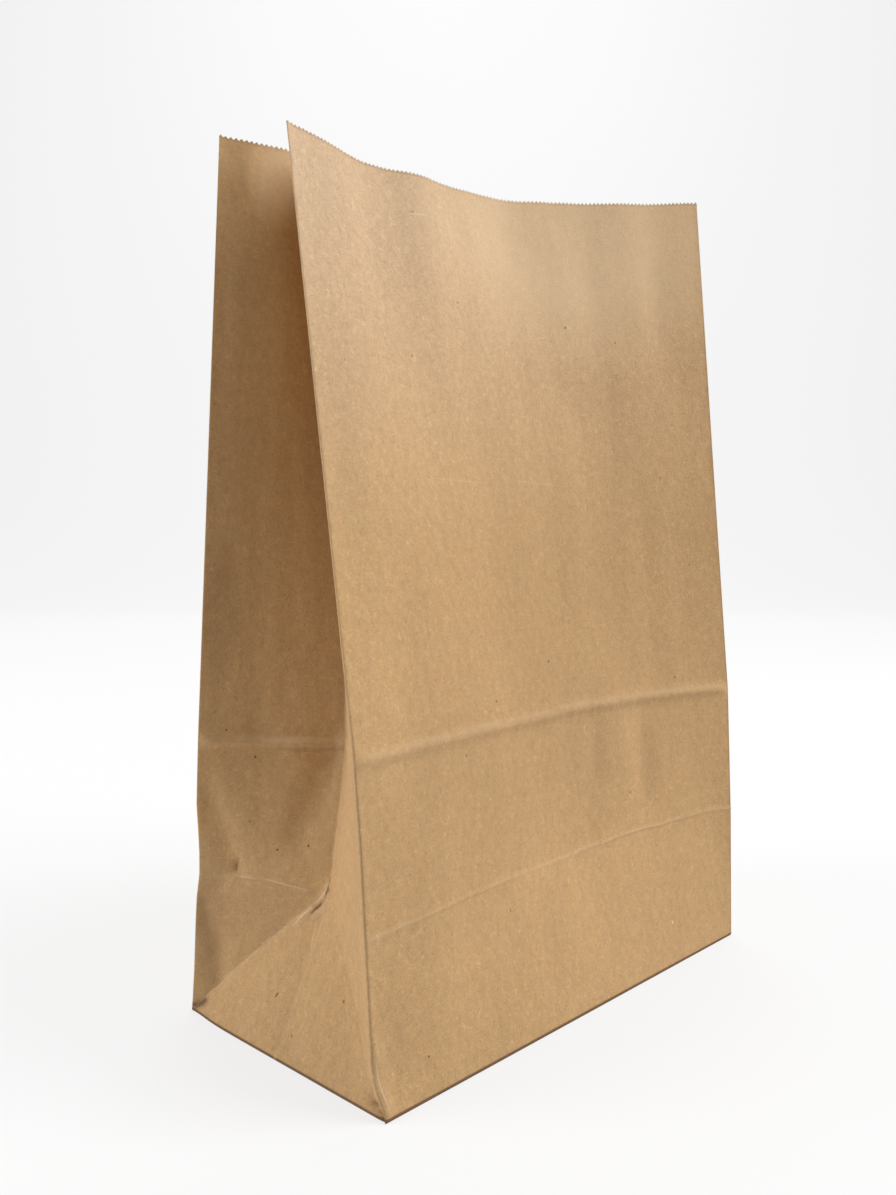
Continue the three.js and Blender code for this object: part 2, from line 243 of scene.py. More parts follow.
# The foot turns under the base, down to the level of the flap that each panel goes on into.
around = np.mod(rounds, ROUND)
outward = np.zeros((len(rounds), 3))
inset = np.full(len(rounds), np.inf)      # on a side, the distance to its nearer corner fold
for start, length, direction in [(0, WIDTH, (0, -1)), (RIGHT_START, GUSSET, (1, 0)),
                                 (BACK_START, WIDTH, (0, 1)), (LEFT_START, GUSSET, (-1, 0))]:
    past = np.mod(around - start + 1e-6, ROUND) - 1e-6
    here = past < length + 1e-6
    outward[here, :2] += direction
    if length == GUSSET:
        inset[here] = np.minimum(past, GUSSET - past)[here]
outward /= np.linalg.norm(outward, axis=1)[:, None]
hem_radius = PAPER * np.where(np.isfinite(inset), 2.5, np.where(around < WIDTH, 4, 3))
TURNS = np.radians([90, 60, 30])
hem = [places[0] - outward * (hem_radius * (1 - math.cos(turn)))[:, None]
       - np.outer(hem_radius * math.sin(turn), (0, 0, 1)) for turn in TURNS]
places = np.concatenate([np.array(hem), places])
heights = np.concatenate([-PAPER * TURNS, heights])


def pressed_line(across, up, places, half_width, lift):
    """A raised line, or a sunk one where lift is negative, through places on the sheet."""
    gap = np.full(across.shape, np.inf)
    for start, end in zip(places, places[1:]):
        run = np.subtract(end, start)
        right, above = across - start[0], up - start[1]
        share = np.clip((right * run[0] + above * run[1]) / (run @ run), 0, 1)
        gap = np.minimum(gap, np.hypot(right - share * run[0], above - share * run[1]))
    return lift * np.exp(-((gap / half_width) ** 2))


def beyond(start, places):
    """Places on the sheet given by their distance from a fold."""
    return [(start + distance, height) for distance, height in places]


# Lines that folding and opening left: the places each runs through (round from the front left
# fold, height), its half width and how far it stands out.
LEFT_MIDDLE = LEFT_START + HALF_GUSSET
RIGHT_MIDDLE = RIGHT_START + HALF_GUSSET
PRESSED = [
    # the low crease on the front, in overlapping runs, and on the back
    ([(0, 46), (20, 46.9), (36, 47.4), (64, 47.1)], 0.65, 0.34),
    ([(62, 46.9), (97, 46.4)], 0.6, 0.3),
    ([(95, 46.8), (118, 46.8)], 0.6, 0.34),
    ([(115, 47.3), (141, 47.6)], 0.6, 0.34),
    ([(139, 47.3), (157, 48.4), (168, 49), (180, 48.5)], 0.6, 0.34),
    ([(BACK_START, 47), (BACK_START + 85, 47.2)], 0.6, -0.3),
    ([(BACK_START + 80, 46.7), (LEFT_START, 47)], 0.6, -0.3),
    # the mark of the base's edge, on the front in two runs that meet at a nick
    ([(1, 90.8), (20, 91.7), (42, 92.2), (66, 92.7), (90, 92.8)], 1.9, 1.1),
    ([(92.5, 93.6), (115, 93.4), (145, 93.9), (178, 94.2)], 1.9, 1.05),
    ([(91, 90.5), (91.8, 96)], 0.9, -0.7),
    # and on the back and the sides
    ([(BACK_START + 2, 94), (LEFT_START - 2, 94.4)], 2.2, -0.6),
    (beyond(LEFT_START, [(2, 93.7), (20, 94.6), (34, 94.2), (45, 93.2)]), 1.6, 1.0),
    ([(LEFT_MIDDLE + 2, 94), (ROUND - 2, 93)], 1.8, 0.4),
    ([(RIGHT_START + 2, 94), (RIGHT_MIDDLE - 2, 94)], 1.8, 0.4),
    ([(RIGHT_MIDDLE + 2, 94), (BACK_START - 2, 94)], 1.8, 0.4),
    # the left side: its low crease, then the hollows above and below it
    (beyond(LEFT_START, [(4.5, 47), (18, 47.4)]), 0.6, 0.2),
    (beyond(LEFT_START, [(17, 47.7), (23, 47.6), (31, 47), (41.2, 45)]), 0.6, 0.36),
    (beyond(LEFT_START, [(44, 92), (40, 80), (34.5, 63)]), 6, -1.5),
    (beyond(LEFT_START, [(3.5, 75), (9, 61.5), (14, 51)]), 4.2, -1.1),
    (beyond(LEFT_START, [(13.5, 49.2), (13.9, 52.4)]), 0.9, -0.5),
    (beyond(LEFT_START, [(1.5, 36), (9.7, 23), (10.4, 10)]), 3.8, -0.8),
    # the pucker at the apex of its triangle
    (beyond(LEFT_START, [(47, 48.3), (45.6, 44.5), (42.4, 40.7), (39, 36.5)]), 1.1, 1.1),
    (beyond(LEFT_START, [(46.4, 45.2), (43.4, 40), (40.8, 37)]), 0.9, -0.9),
    (beyond(LEFT_START, [(46.6, 41.8), (44.3, 39.6), (41.8, 36.6)]), 0.9, 0.7),
    # down the middle of the triangle, where the side was once folded, and its soft front edge
    (beyond(LEFT_START, [(46.2, 39), (46.8, 30), (47.2, 12), (47.5, 5)]), 5, -0.9),
    (beyond(LEFT_MIDDLE, [(4, 43), (24, 23), (38, 9)]), 3.4, 0.75),
    # the pinched near corner
    (beyond(LEFT_MIDDLE, [(40.5, 3.6), (46.2, 1.2)]), 0.9, -1.1),
    ([(1.3, 2), (2.6, 9), (1.2, 20)], 1.1, 0.45),
    # beside the front left fold, and a long hollow down the front
    ([(1.2, 14), (1.3, 60), (1.3, 270)], 0.55, 0.12),
    ([(112, 212), (118, 198), (124, 183), (119, 148), (110, 78), (105, 53)], 4.5, -0.3),
    # soft hollows and swells between the front's creases, and below them
    ([(113, 86), (113, 66)], 4, -0.45),
    ([(138, 88), (138, 56)], 5, -0.6),
    ([(126, 84), (126, 60)], 4, 0.45),
    ([(65, 43), (62, 14)], 3.5, 0.38),
    ([(78, 40), (76, 14)], 3.5, -0.38),
    ([(91, 42), (86, 14)], 3.5, 0.3),
]

# Lines painted paler, as rubbed paper and as painted highlight, or darker as painted shade where the
# strength is negative: the places each runs through, its half width and its strength.
RUBBED_AND_SHADED_LINES = [
    # painted shade in the nick of the left side's low crease, painted shade and a painted highlight on the
    # pucker at its triangle's apex, and painted shade in the pinched near corner and at the foot of the
    # back left corner
    (beyond(LEFT_START, [(13.6, 49.2), (13.9, 51.8)]), 0.7, -0.6),
    (beyond(LEFT_START, [(46.2, 44.6), (43.4, 40.4), (41, 37.4)]), 0.6, -0.9),
    (beyond(LEFT_START, [(46.8, 42), (44.3, 39.6), (41.8, 36.6)]), 0.5, 0.7),
    (beyond(LEFT_MIDDLE, [(40.5, 3.4), (46.6, 0.8)]), 0.7, -1.2),
    (beyond(LEFT_START, [(0, 1.5), (2, 1.5), (6, 4)]), 1.1, -1.9),
    # both front folds: the crown of the left one is painted pale, as rubbed paper and a highlight, and
    # painted shade lines run beside it and along the right one
    ([(0.05, 1), (0.05, 250)], 0.22, 0.9),
    ([(ROUND - 0.05, 1), (ROUND - 0.05, 250)], 0.22, 0.9),
    ([(0.45, 0), (0.45, 45)], 0.2, -0.5),
    ([(0.45, 45), (0.45, 100)], 0.2, -0.9),
    ([(0.45, 100), (0.45, 279)], 0.2, -0.45),
    ([(179.5, 0), (179.5, 279)], 0.4, -0.5),
    # along the upper side of the base's mark, a painted highlight, and painted shade in its nick
    ([(3, 92.2), (20, 93), (42, 93.5), (66, 94), (89, 94.2)], 0.8, 0.8),
    ([(93.5, 94.9), (115, 94.7), (145, 95.2), (177, 95.5)], 0.8, 0.7),
    ([(91, 90.5), (91.7, 95)], 0.5, -1.0),
    (beyond(LEFT_START, [(14, 95.4), (34, 95.2), (45, 94.2)]), 0.9, 1.0),
    # the side's slanting back fold, painted pale along its crown as rubbed paper and a highlight
    (beyond(LEFT_START, [(6, 6), (40, 40)]), 0.6, 0.7),
]


# Waves of the open mouth, which die out down the panel: distance round, half width, how far
# it stands out and the level where it ends.
WAVES = [(33, 11, -1.5, 190), (58, 9, 1.7, 175), (96, 13, -1.8, 130), (146, 26, 3.0, 110),
         (LEFT_START + 22, 14, 5.4, 150)]


def eased(distance, reach):
    """0 at no distance, rising smoothly to 1 at the reach."""
    t = np.clip(distance / reach, 0, 1)
    return t * t * (3 - 2 * t)


# The lap: the end of the sheet lies over its start, one layer further out.
lap_lift = eased(rounds - (SEAM_START + ROUND - 3), 3) * PAPER * 1.1
columns, levels = np.meshgrid(rounds, heights)
wrapped = np.mod(columns, ROUND)
marks = [pressed_line(wrapped, levels, *mark) for mark in PRESSED]
sharp = [fold for fold in FOLDS if fold not in (LEFT_MIDDLE, RIGHT_MIDDLE)]
to_sharp = np.min([abs(turn_from(fold, columns)) for fold in sharp], axis=0)
to_middle = np.min([abs(turn_from(fold, columns)) for fold in (LEFT_MIDDLE, RIGHT_MIDDLE)], axis=0)
to_sharp = np.where(levels > LOW_CREASE + 2, np.minimum(to_sharp, to_middle), to_sharp)
lift = lap_lift
for mark, (_, wide, _) in zip(marks, PRESSED):
    held = eased(to_sharp, 4) * eased(levels, 6) if wide > 1.5 else eased(to_sharp, 0.7)
    lift = lift + mark * held
for place, half_width, depth, end in WAVES:
    shape = depth * np.exp(-(((wrapped - place) / half_width) ** 2))
    lift = lift + shape * eased(levels - end, HEIGHT - end) * eased(to_sharp, 8)

# How freely the paper swells and wrinkles: not at a fold, at the base or on the stiff double
# lap. The numbers are how far from each of them the paper is quite free.
to_fold = np.min([abs(turn_from(fold, columns)) for fold in FOLDS], axis=0)
to_lap = abs(turn_from(SEAM_START + SEAM_WIDTH / 2, columns)) - SEAM_WIDTH / 2 - 2
to_slant = np.where(levels < LOW_CREASE + 4, abs(levels - inset), np.inf)
free = eased(to_fold, 24) * eased(to_lap, 30) * eased(levels, 30) * eased(to_slant, 16)
supple = eased(to_fold, 3) * eased(to_lap, 3) * eased(levels, 4) * eased(to_slant, 2)

# Where the surface is painted paler: on the folds as rubbed paper and painted highlight, on the pressed
# lines' crests as painted highlight; and where it is painted darker: painted shade at the foot, and the
# cut edge of the mouth.
wear_and_painted_light = 0.7 * np.exp(-((to_middle / 0.7) ** 2))
wear_and_painted_light += 0.4 * np.exp(-((to_slant / 1.2) ** 2)) * (turn_from(LEFT_MIDDLE + 24, columns) < -24)
wear_and_painted_light += sum(0.8 * mark / lift for mark, (_, wide, lift) in zip(marks, PRESSED) if wide < 1 and lift > 0.15)
wear_and_painted_light += sum(0.35 * mark / lift for mark, (_, wide, lift) in zip(marks, PRESSED) if 1 < wide < 3)
wear_and_painted_light += sum(pressed_line(wrapped, levels, *line) for line in RUBBED_AND_SHADED_LINES)
# painted shade along the foot, where the bag meets the floor
wear_and_painted_light -= 1.6 * eased(0.75 - levels, 0.5)
# darker along the top 1.8 mm of the sheet, at the toothed cut edge of the mouth
wear_and_painted_light -= 0.5 * eased(levels - HEIGHT + 1.8, 1)

# Painted light: the front is painted paler towards its mouth, most of all on the left.
painted_top_light = 0.5 * eased(levels - 130, 150) * (1 - 0.7 * wrapped / WIDTH) * (wrapped < WIDTH)

# Up the paper at the mouth, which is the way that the teeth point.
upward = places[-1] - places[-2]
upward /= np.linalg.norm(upward, axis=1)[:, None]


def tooth_pitch(place):
    """Where the panel at a place round the tube starts, and the pitch of its teeth."""
    for start, length in [(0, WIDTH), (RIGHT_START, GUSSET), (BACK_START, WIDTH), (LEFT_START, GUSSET)]:
        if place % ROUND < start + length:
            return place - place % ROUND + start, length / round(length / TOOTH_PITCH)


# The mouth's row has a point at each tooth's root and tip, and at each column of the grid.
mouth_rounds, cell_of = [], []
for cell in range(len(rounds) - 1):
    start, pitch = tooth_pitch((rounds[cell] + rounds[cell + 1]) / 2)
    halves = np.arange(math.floor((rounds[cell] - start) / pitch * 2) + 1,
                       math.ceil((rounds[cell + 1] - start) / pitch * 2 - 1e-3))
    within = [start + half * pitch / 2 for half in halves]
    mouth_rounds += [rounds[cell], *[w for w in within if rounds[cell] + 0.02 < w]]
    cell_of.append(len(mouth_rounds))
mouth_rounds = np.array([*mouth_rounds, rounds[-1]])
tooth = []
for place in mouth_rounds:
    start, pitch = tooth_pitch(place + 1e-6)
    tooth.append(1 - abs(2 * (((place - start) / pitch) % 1) - 1))


def at_mouth(row):
    """A row of the grid's values, carried over to the mouth's own points."""
    row = np.asarray(row)
    if row.ndim == 1:
        return np.interp(mouth_rounds, rounds, row)
    return np.stack([np.interp(mouth_rounds, rounds, row[:, k]) for k in range(row.shape[1])], axis=-1)


grid_size = len(rounds) * (len(heights) - 1)
points = np.concatenate([places[:-1].reshape(-1, 3), at_mouth(places[-1])])
point_values = {
    "round": np.concatenate([columns[:-1].ravel(), mouth_rounds]) - SEAM_START,
    "height": np.concatenate([levels[:-1].ravel(), at_mouth(levels[-1])]),
    "lift": np.concatenate([lift[:-1].ravel(), at_mouth(lift[-1])]),
    "free": np.concatenate([free[:-1].ravel(), at_mouth(free[-1])]),
    "supple": np.concatenate([supple[:-1].ravel(), at_mouth(supple[-1])]),
    "wear_and_painted_light": np.concatenate([wear_and_painted_light[:-1].ravel(), at_mouth(wear_and_painted_light[-1])]),
    "painted_top_light": np.concatenate([painted_top_light[:-1].ravel(), at_mouth(painted_top_light[-1])]),
    "tooth": np.concatenate([np.zeros(grid_size), tooth]),
}
point_upward = np.concatenate([np.zeros((grid_size, 3)), at_mouth(upward)])

faces = []
for row in range(len(heights) - 2):
    for column in range(len(rounds) - 1):
        a = row * len(rounds) + column
        b, c, d = a + 1, a + 1 + len(rounds), a + len(rounds)
        across, up = inset[column:column + 2], heights[row:row + 2]
        if np.allclose(across, up, atol=1e-3):
            faces += [[a, b, c], [a, c, d]]
        elif np.allclose(across[::-1], up, atol=1e-3):
            faces += [[a, b, d], [b, c, d]]
        else:
            faces.append([a, b, c, d])
last_row = grid_size - len(rounds)
for cell, after in enumerate(cell_of):
    before = cell_of[cell - 1] if cell else 0
    rim = [grid_size + i for i in range(before, after + 1)]
    faces.append([last_row + cell, last_row + cell + 1, *rim[::-1]])

# The middle of the bag stands over the middle of its CAD box, and its underside on its floor.
folded_low, folded_high = points.min(axis=0), points.max(axis=0)
cad_middle = (cad_low + cad_high) / 2
place_base = np.array([cad_middle.x, cad_middle.y, cad_low.z]) * 1000
place_base -= [(folded_low[0] + folded_high[0]) / 2, (folded_low[1] + folded_high[1]) / 2,
               folded_low[2] - PAPER / 2]


def paper_object(name, points, faces, values, upward):
    """A sheet of paper's middle surface as an object, with its values at each point."""
    mesh = bpy.data.meshes.new(name)
    mesh.from_pydata((points + place_base) / 1000, [], faces)
    for key, numbers in values.items():
        layer = mesh.attributes.new(key, "FLOAT", "POINT")
        scale = 0.001 if key in ("round", "height", "lift") else 1
        layer.data.foreach_set("value", np.asarray(numbers, np.float32) * scale)
    layer = mesh.attributes.new("upward", "FLOAT_VECTOR", "POINT")
    layer.data.foreach_set("vector", np.asarray(upward, np.float32).ravel())
    corner = np.empty(len(mesh.loops), np.int32)
    mesh.loops.foreach_get("vertex_index", corner)
    flat = np.stack([values["round"], values["height"]], axis=-1)[corner] / 1000
    mesh.uv_layers.new(name="sheet").data.foreach_set("uv", flat.astype(np.float32).ravel())
    mesh.shade_smooth()
    made = bpy.data.objects.new(name, mesh)
    bpy.context.scene.collection.objects.link(made)
    return made


def node(tree, kind, inputs=(), **settings):
    """A node with its settings, and its inputs given as values or as sockets to link."""
    made = tree.nodes.new(kind)
    for key, value in settings.items():
        setattr(made, key, value)
    for key, value in dict(inputs).items():
        if isinstance(value, bpy.types.NodeSocket):
            tree.links.new(value, made.inputs[key])
        else:
            made.inputs[key].default_value = value
    return made


def calc(tree, operation, *terms):
    """The result of a Math node on values or sockets."""
    return node(tree, "ShaderNodeMath", enumerate(terms), operation=operation).outputs[0]


# The hand of the paper, as a Geometry Nodes tree: pressed lines, swells, soft standing folds
# and fine wrinkles along the normal, then the teeth of the mouth along the paper.
CREASE_ANGLE = 34                         # degrees, past which an edge shows as a sharp one
HAND_INPUTS = {
    "Swell Depth": 0.0012, "Swell Size": 0.075,
    "Stand Depth": 0.0006, "Stand Width": 0.021,
    "Wrinkle Depth": 0.00022, "Wrinkle Size": 0.007,
    "Tooth Depth": TOOTH_DEPTH / 1000,
}


def hand_tree():
    tree = bpy.data.node_groups.new("hand_of_the_paper", "GeometryNodeTree")
    face = tree.interface
    face.new_socket("Geometry", in_out="OUTPUT", socket_type="NodeSocketGeometry")
    face.new_socket("Geometry", in_out="INPUT", socket_type="NodeSocketGeometry")
    for name, value in HAND_INPUTS.items():
        face.new_socket(name, in_out="INPUT", socket_type="NodeSocketFloat").default_value = value
    face.new_socket("Seed", in_out="INPUT", socket_type="NodeSocketInt").default_value = 7
    face.new_socket("Paper", in_out="INPUT", socket_type="NodeSocketMaterial")
    given = tree.nodes.new("NodeGroupInput").outputs

    def kept(name, kind="FLOAT"):
        return node(tree, "GeometryNodeInputNamedAttribute", {"Name": name}, data_type=kind).outputs[0]

    def waves(stretch, size, detail, shift):
        """Smooth noise from -1 to 1 over the flat sheet."""
        flat = node(tree, "ShaderNodeCombineXYZ",
                    {"X": kept("round"), "Y": calc(tree, "MULTIPLY", kept("height"), stretch)})
        noise = node(tree, "ShaderNodeTexNoise", {
            "Vector": flat.outputs[0], "W": calc(tree, "ADD", given["Seed"], shift),
            "Scale": calc(tree, "DIVIDE", 1, given[size]), "Detail": detail,
        }, noise_dimensions="4D")
        return calc(tree, "MULTIPLY_ADD", noise.outputs[0], 4, -2)

    swell = calc(tree, "MULTIPLY", waves(0.7, "Swell Size", 0, 0.3), given["Swell Depth"])
    stand = calc(tree, "MULTIPLY", waves(0.16, "Stand Width", 1, 4.7), given["Stand Depth"])
    loose = calc(tree, "MULTIPLY", calc(tree, "ADD", swell, stand), kept("free"))
    wrinkle = calc(tree, "MULTIPLY", waves(0.6, "Wrinkle Size", 2, 9.1), given["Wrinkle Depth"])
    fine = calc(tree, "MULTIPLY_ADD", wrinkle, kept("supple"), loose)
    out = calc(tree, "ADD", fine, kept("lift"))
    normal = tree.nodes.new("GeometryNodeInputNormal").outputs[0]
    push = node(tree, "ShaderNodeVectorMath", {0: normal, "Scale": out}, operation="SCALE")
    pushed = node(tree, "GeometryNodeSetPosition",
                  {"Geometry": given["Geometry"], "Offset": push.outputs[0]})
    point = node(tree, "ShaderNodeVectorMath", {
        0: kept("upward", "FLOAT_VECTOR"),
        "Scale": calc(tree, "MULTIPLY", kept("tooth"), given["Tooth Depth"]),
    }, operation="SCALE")
    toothed = node(tree, "GeometryNodeSetPosition",
                   {"Geometry": pushed.outputs[0], "Offset": point.outputs[0]})
    real = node(tree, "GeometryNodeRealizeInstances", {"Geometry": toothed.outputs[0]})
    dressed = node(tree, "GeometryNodeSetMaterial",
                   {"Geometry": real.outputs[0], "Material": given["Paper"]})
    node(tree, "NodeGroupOutput", {"Geometry": dressed.outputs[0]})
    return tree


# Colours of the paper, of what is in it and on it, and of the painted highlights and painted shade on it.
ORANGE_KRAFT, OLIVE_KRAFT = (0.496, 0.299, 0.134, 1), (0.491, 0.310, 0.148, 1)
TOP_LIGHT_KRAFT = (0.63, 0.48, 0.35, 1)
RUBBED_AND_HIGHLIGHT_KRAFT = (0.58, 0.41, 0.25, 1)
SCUFF_AND_HIGHLIGHT_KRAFT = (0.72, 0.53, 0.33, 1)
PALE_HAIR, DARK_HAIR = (0.60, 0.43, 0.26, 1), (0.29, 0.155, 0.07, 1)
BARK, SHIVE_AND_SHADE_KRAFT = (0.10, 0.048, 0.022, 1), (0.07, 0.035, 0.018, 1)
SHADE_AND_CUT_EDGE_KRAFT = (0.16, 0.085, 0.04, 1)

# The largest dark shives: distance round, height, half length, half width and turn.
SHIVES = [
    (68, 234.5, 0.5, 0.35, 20), (118, 231, 0.6, 0.4, -30), (139.5, 226, 0.45, 0.35, 0),
    (91, 110.5, 0.55, 0.45, 10), (154.5, 100, 0.5, 0.35, 60), (62, 100.5, 0.6, 0.35, 50),
    (472.5, 89, 0.6, 0.5, 0), (492, 60, 0.55, 0.5, 20), (482, 58, 0.6, 0.4, 80),
    (463, 97.5, 0.5, 0.4, 0), (472, 67, 0.4, 0.35, 0), (493, 15, 1.1, 0.42, -28),
    (521, 21, 0.55, 0.5, 10),
]
# Pale scuffs and painted highlights, and painted shade where the strength is negative: the same numbers
# and a strength.
SCUFFS_AND_PAINTED_LIGHT = [
    # large faint painted highlights and painted shade on the front, and painted shade and a painted
    # highlight along the left side's back fold
    (125, 268, 58, 80, 0, 0.42), (100, 118, 75, 80, 0, -0.10), (35, 68, 40, 50, 0, -0.08),
    (113.5, 76, 12, 5, 0, -0.08), (139, 71, 20, 6, 0, -0.09), (77, 24, 22, 6, 0, -0.06),
    (LEFT_START + 4, 33, 32, 8, 0, -0.24), (LEFT_START + 5, 133, 26, 9, 0, -0.15),
    (LEFT_START + 4, 270, 18, 8, 0, -0.15), (LEFT_START + 20, 270, 18, 12, 0, 0.4),
    # the side's part of the mark of the base's edge: a painted highlight above it and painted shade below
    (LEFT_START + 34, 95.2, 16, 1.3, 91, 0.28), (LEFT_START + 35, 92.2, 14, 1.1, 91, -0.2),
    # fine scratches on the front
    (54.5, 264, 5.5, 0.3, 95, 0.6), (44, 268, 4, 0.25, 20, 0.4), (60, 171.5, 18, 0.3, 90, 0.16),
    (96, 172.3, 16, 0.3, 86, 0.16), (141.8, 13.7, 0.8, 0.5, 30, 0.9),
    # painted highlights and painted shade on the left side's low crease, the folds at its triangle's apex,
    # and its near corner
    (LEFT_START + 18.5, 47.6, 5.5, 0.3, 90, 0.3), (LEFT_START + 32, 46.8, 10, 0.3, 82, 0.4),
    (LEFT_START + 44.7, 44.5, 4.6, 0.35, -31, 0.7), (LEFT_START + 39, 37, 6, 0.35, -43, 0.6),
    (LEFT_START + 43.4, 40.7, 3.6, 0.4, -36, -0.6), (LEFT_START + 46.3, 46.2, 2.4, 0.4, -14, -0.6),
    (LEFT_START + 45.4, 33, 5, 0.35, 10, 0.35), (1.6, 9, 8, 0.35, 2, 0.5),
]


def kraft_paper():
    """Unbleached kraft: felted short fibres, cloudy tone, hairs, dark shives and scuffs, painted
    highlights and painted shade, and a darker cut edge.
    """
    material = bpy.data.materials.new("kraft_paper")
    material.use_nodes = True
    tree = material.node_tree
    tree.nodes.clear()
    sheet = node(tree, "ShaderNodeUVMap", uv_map="sheet").outputs[0]

    def laid(length, width, turn, shift=0.0):
        """The flat sheet measured in grains of a length and a width, turned from upright."""
        return node(tree, "ShaderNodeMapping", {
            "Vector": sheet, "Location": (shift, shift, 0), "Rotation": (0, 0, turn),
            "Scale": (width, length, 1),
        }, vector_type="TEXTURE").outputs[0]

    def grain(length, width, turn=0.0, detail=1, roughness=0.5, shift=0.0):
        """Noise from -1 to 1 over the sheet."""
        noise = node(tree, "ShaderNodeTexNoise", {
            "Vector": laid(length, width, turn, shift), "Scale": 1, "Detail": detail,
            "Roughness": roughness,
        }, noise_dimensions="2D")
        return calc(tree, "MULTIPLY_ADD", noise.outputs[0], 4, -2)

    def flecks(spacing, stretch, turn, radius, share):
        """1 in small spots, in a random share of the cells of a loose pattern."""
        cells = node(tree, "ShaderNodeTexVoronoi", {
            "Vector": laid(spacing * stretch, spacing, turn, spacing / 3), "Scale": 1,
        }, voronoi_dimensions="2D")
        pick = node(tree, "ShaderNodeSeparateColor", {"Color": cells.outputs["Color"]})
        chosen = calc(tree, "LESS_THAN", pick.outputs[0], share)
        size = calc(tree, "MULTIPLY_ADD", pick.outputs[1], radius / spacing, radius / spacing / 4)
        edge = calc(tree, "SUBTRACT", 1, calc(tree, "DIVIDE", cells.outputs["Distance"], size))
        inside = node(tree, "ShaderNodeClamp", {"Value": calc(tree, "MULTIPLY", edge, 2)})
        return calc(tree, "MULTIPLY", chosen, inside.outputs[0])

    def curls(size, width, shift):
        """1 on fine curled lines, broken into short pieces."""
        wander = calc(tree, "ABSOLUTE", grain(size, size * 0.8, shift, 1, 0.5, shift))
        line = node(tree, "ShaderNodeClamp", {"Value": calc(tree, "SUBTRACT", 1, calc(
            tree, "DIVIDE", wander, width))}).outputs[0]
        broken = node(tree, "ShaderNodeClamp", {"Value": calc(
            tree, "MULTIPLY_ADD", grain(size * 0.9, size * 0.9, shift, 0, 0.5, shift * 2), 1.6, 0.3)})
        return calc(tree, "MULTIPLY", line, broken.outputs[0])

    def mixed(factor, under, over):
        mix = node(tree, "ShaderNodeMix", {0: factor, 6: under, 7: over}, data_type="RGBA")
        return mix.outputs[2]

    felt = grain(0.0011, 0.00028, 0.15, 2, 0.6)
    for turn in (0.9, -0.7, 2.1):
        felt = calc(tree, "ADD", felt, grain(0.0012, 0.00026, turn, 1, 0.5, turn))
    mottle = grain(0.0042, 0.0024, 0.1, 3, 0.6)
    cloud = grain(0.055, 0.03, 0.2, 2)
    streak = grain(0.16, 0.011, 0.0, 1)
    warm = grain(0.009, 0.006, 0.4, 2)

    tone = calc(tree, "MULTIPLY_ADD", felt, 0.05, 0.985)
    for amount, strength in [
        (mottle, 0.064), (cloud, 0.03), (streak, 0.02),
        (curls(0.0026, 0.16, 0.7), 0.14), (curls(0.0021, 0.16, 2.3), -0.12),
        (curls(0.0034, 0.12, 1.4), 0.13), (curls(0.0029, 0.12, 3.1), -0.1),
    ]:
        tone = calc(tree, "MULTIPLY_ADD", amount, strength, tone)
    plain = mixed(calc(tree, "MULTIPLY_ADD", warm, 0.25, 0.5), ORANGE_KRAFT, OLIVE_KRAFT)
    # the front's painted light, paler towards its mouth
    painted_top_light = node(tree, "ShaderNodeAttribute", attribute_name="painted_top_light").outputs["Fac"]
    plain = mixed(painted_top_light, plain, TOP_LIGHT_KRAFT)
    colour = node(tree, "ShaderNodeVectorMath", {0: plain, "Scale": tone}, operation="SCALE").outputs[0]
    for spacing, stretch, turn, radius, share, strength, hue in [
        (0.0036, 7, 0.5, 0.00022, 0.14, 0.35, PALE_HAIR),
        (0.0043, 8, -0.8, 0.00022, 0.14, 0.35, PALE_HAIR),
        (0.0048, 7, 1.7, 0.00024, 0.14, 0.3, DARK_HAIR),
        (0.0120, 1.4, 0.3, 0.00030, 0.10, 0.8, BARK),
    ]:
        fleck = flecks(spacing, stretch, turn, radius, share)
        colour = mixed(calc(tree, "MULTIPLY", fleck, strength), colour, hue)
    # paler along fold crowns as rubbed paper and painted highlight, and on crease crests as painted
    # highlight
    wear_and_light = node(tree, "ShaderNodeAttribute", attribute_name="wear_and_painted_light").outputs["Fac"]
    patchy = calc(tree, "MULTIPLY_ADD", grain(0.006, 0.004, 0.3, 2), 0.3, 0.6)
    colour = mixed(node(tree, "ShaderNodeClamp", {"Value": calc(tree, "MULTIPLY", wear_and_light, calc(
        tree, "MULTIPLY", patchy, 0.45))}).outputs[0], colour, RUBBED_AND_HIGHLIGHT_KRAFT)
    # darker as painted shade at the foot, beside the front folds and in pinches and nicks, and darker at
    # the cut edge
    shade_and_cut_edge = node(tree, "ShaderNodeClamp", {"Value": calc(tree, "MULTIPLY", wear_and_light, -0.7)}).outputs[0]
    colour = mixed(shade_and_cut_edge, colour, SHADE_AND_CUT_EDGE_KRAFT)
    spots = SCUFFS_AND_PAINTED_LIGHT + [(*shive, -0.85) for shive in SHIVES]
    for distance, height, length, width, turn, strength in spots:
        place = node(tree, "ShaderNodeMapping", {
            "Vector": sheet, "Rotation": (0, 0, math.radians(turn)),
            "Scale": (width / 1000, length / 1000, 1),
            "Location": ((distance - SEAM_START) % ROUND / 1000, height / 1000, 0),
        }, vector_type="TEXTURE").outputs[0]
        spot = node(tree, "ShaderNodeTexGradient", {"Vector": place}, gradient_type="SPHERICAL").outputs[1]
        spot = node(tree, "ShaderNodeClamp", {"Value": calc(tree, "MULTIPLY", spot, 1.8)}).outputs[0]
        # pale scuffs and painted highlights mix towards the pale kraft; shives and painted shade towards
        # the dark brown
        hue = SCUFF_AND_HIGHLIGHT_KRAFT if strength > 0 else SHIVE_AND_SHADE_KRAFT
        colour = mixed(calc(tree, "MULTIPLY", spot, abs(strength)), colour, hue)

